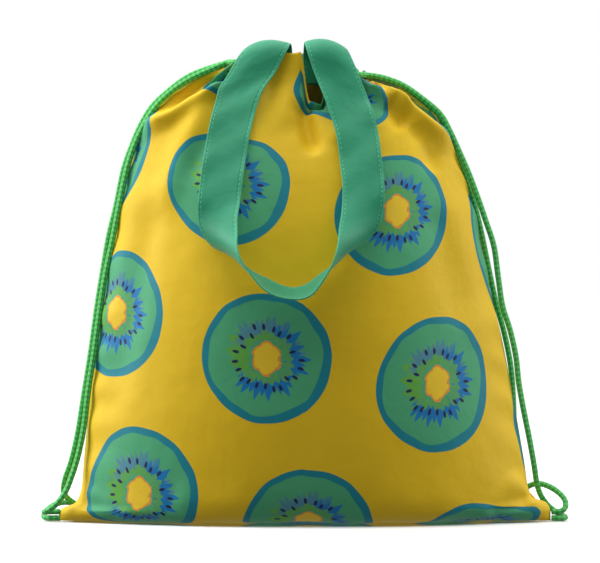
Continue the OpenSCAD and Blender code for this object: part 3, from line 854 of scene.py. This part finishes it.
def strap_frames(count):
    """Points along the strap, the directions along it, across it and out of its face, and its length."""
    line, length = curve_through(STRAP_PATH, count)
    centre = line[:, :3]
    along = np.gradient(centre, axis=0)
    along /= np.linalg.norm(along, axis=1)[:, None]
    across = line[:, 3:] / np.linalg.norm(line[:, 3:], axis=1)[:, None]
    face = np.cross(across, along)
    slant = np.linalg.norm(face, axis=1)[:, None]
    # Where the strap slants, its sections stay parallel and lengthen, so that it keeps its width.
    return centre, along, across / slant, face / slant, length


def strap_relief(s, t, length):
    """How far the strap stands off its middle surface: arched over the hem, and crumpled further down."""
    over_hem = math.exp(-(((min(t, length - t) - CREST_AT) / CREST_WIDTH) ** 2))
    arch = CREST_ARCH * over_hem + 0.9 * math.sin(t * 0.018 + 0.5) * (1 - over_hem)
    crumple = 0.5 * np.sin(t * 0.21 + s * 0.16) + 0.35 * np.sin(t * 0.10 - s * 0.22)
    return arch * (1 - (2 * s / STRAP_W) ** 2) + crumple * (0.4 + np.abs(s) / STRAP_W)


def make_handle(side, material, thread, hem_body, handle_body):
    """One strap with its stitches: side is -1 for the front and 1 for the back."""
    centre, _, across, face, length = strap_frames(STRAP_ROWS)
    t = np.linspace(0, length, STRAP_ROWS)
    s = np.linspace(-1, 1, STRAP_COLS) * STRAP_W / 2
    shape = []
    for k in range(STRAP_ROWS):
        shape.append(centre[k] + across[k] * s[:, None] + face[k] * strap_relief(s, t[k], length)[:, None])
    verts = np.concatenate(shape)
    place = np.stack([np.tile(s, STRAP_ROWS), np.repeat(t, STRAP_COLS), np.zeros(len(verts))], 1)
    # The path is the front handle's: the back one is its mirror image.
    flip = np.array([1, -side, 1])
    verts = verts * flip
    obj = new_mesh(handle_body + "_strap", verts, grid_faces(STRAP_ROWS, STRAP_COLS, flip=side < 0))
    add_attribute(obj, "flat", place)
    obj.data.materials.append(material)
    solid = obj.modifiers.new("thickness", "SOLIDIFY")
    solid.thickness = STRAP_T * MM
    solid.offset = 0
    bevel = obj.modifiers.new("edge", "BEVEL")
    bevel.width = 0.35 * MM
    bevel.segments = 2
    bevel.limit_method = "ANGLE"
    smooth = obj.modifiers.new("smooth", "SUBSURF")
    smooth.levels = smooth.render_levels = 1
    apply_modifiers(obj)
    stitches = make_stitches(handle_body + "_edge_stitches", thread, flip, side)
    for piece in (obj, stitches):
        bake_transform(piece, hem_body, handle_body, start=(0, side * 0.0150, 0.310), end=(0, side * 0.0245, 0.310))
    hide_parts(handle_body, handle_body + "_ends", handle_body + "_stitching")


def make_stitches(name, material, flip, side):
    """Short rounded threads along both edges and on both faces of the strap."""
    _, length = curve_through(STRAP_PATH, 10)
    count = int(length / STITCH_PITCH)
    centre, along, across, face, _ = strap_frames(count)
    verts, faces = [], []
    half_long, half_wide, rise = 1.15, 0.28, 0.24
    outline = [(-1, 0), (-0.7, 1), (0.7, 1), (1, 0), (0.7, -1), (-0.7, -1)]
    for k in range(count):
        for edge in (-1, 1):
            for top in (-1, 1):
                s = edge * (STRAP_W / 2 - STITCH_IN)
                relief = float(strap_relief(s, k * length / (count - 1), length))
                here = centre[k] + across[k] * s + face[k] * (relief + top * (STRAP_T / 2 - 0.05))
                base = len(verts)
                for a, b in outline:
                    verts.append(here + along[k] * a * half_long + across[k] * b * half_wide)
                verts.append(here + face[k] * top * rise - along[k] * half_long * 0.45)
                verts.append(here + face[k] * top * rise + along[k] * half_long * 0.45)
                low, high = base + 6, base + 7
                ring = [(base, base + 1, low), (base + 1, base + 2, high, low), (base + 2, base + 3, high),
                        (base + 3, base + 4, high), (base + 4, base + 5, low, high), (base + 5, base, low),
                        tuple(base + i for i in (5, 4, 3, 2, 1, 0))]
                if (top > 0) == (side < 0):
                    ring = [f[::-1] for f in ring]
                faces += ring
    obj = new_mesh(name, np.array(verts) * flip, faces)
    obj.data.materials.append(material)
    return obj


# ---------------------------------------------------------------- floor and light


def make_floor():
    bpy.ops.mesh.primitive_plane_add(size=60, location=(0, 0, 0))
    floor = bpy.context.object
    floor.name = "floor"
    floor.visible_diffuse = False
    floor.visible_glossy = False
    n = Nodes("floor_white")
    n.set("Base Color", (0.95, 0.95, 0.95))
    n.set("Roughness", 0.9)
    n.set("Specular IOR Level", 0.0)
    floor.data.materials.append(n.material)


def area_light(name, place, target, size, watts):
    data = bpy.data.lights.new(name, "AREA")
    data.shape = "RECTANGLE"
    data.size, data.size_y = size
    data.energy = watts
    light = bpy.data.objects.new(name, data)
    light.location = place
    light.rotation_euler = (Vector(target) - Vector(place)).to_track_quat("-Z", "Y").to_euler()
    bpy.context.scene.collection.objects.link(light)


WORLD_LIGHT = 0.26
OVERHEAD_LIGHT = 2.7


def make_light():
    """Soft light from the sides, above and a little behind; the background is plain white."""
    world = bpy.data.worlds.new("studio")
    bpy.context.scene.world = world
    world.use_nodes = True
    tree = world.node_tree
    background = tree.nodes["Background"]
    background.inputs["Color"].default_value = (1, 1, 1, 1)
    seen = tree.nodes.new("ShaderNodeLightPath")
    strength = tree.nodes.new("ShaderNodeMapRange")
    strength.inputs["To Min"].default_value = WORLD_LIGHT
    strength.inputs["To Max"].default_value = 1.0
    tree.links.new(seen.outputs["Is Camera Ray"], strength.inputs["Value"])
    tree.links.new(strength.outputs[0], background.inputs["Strength"])
    sky = bpy.data.lights.new("overhead", "SUN")
    sky.energy = OVERHEAD_LIGHT
    sky.angle = math.radians(110)
    overhead = bpy.data.objects.new("overhead", sky)
    overhead.rotation_euler = (math.radians(-12), math.radians(-8), 0)
    bpy.context.scene.collection.objects.link(overhead)
    area_light("left", (-1.3, 0.0, 0.65), (0, -0.02, 0.17), (0.7, 1.3), 18)
    area_light("right", (1.4, 0.0, 0.60), (0, -0.02, 0.17), (0.6, 1.1), 10)
    area_light("crown", (-0.10, -0.12, 0.78), (-0.02, -0.03, 0.30), (0.35, 0.35), 0.9)
    bpy.context.scene.view_settings.view_transform = "Standard"


# ---------------------------------------------------------------- assembly

cord_look = cord_material()
make_cords(cord_look)
cloth_out = cloth_material("printed_cloth_look", True)
cloth_in = cloth_material("inside_cloth_look", False)
strap_look = strap_material()
strap_thread = thread_material("strap_thread_look", srgb(70, 190, 140))
make_panel(-1, cloth_out, cloth_in)
make_panel(1, cloth_out, cloth_in)
make_handle(-1, strap_look, strap_thread, "front_mouth", "front_handle")
make_handle(1, strap_look, strap_thread, "back_mouth", "back_handle")

seam_look = thread_material("seam_thread_look", srgb(225, 180, 60))
for node in ("left_seam", "right_seam", "bottom_seam"):
    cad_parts[node].data.materials.clear()
    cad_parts[node].data.materials.append(seam_look)

make_floor()
make_light()
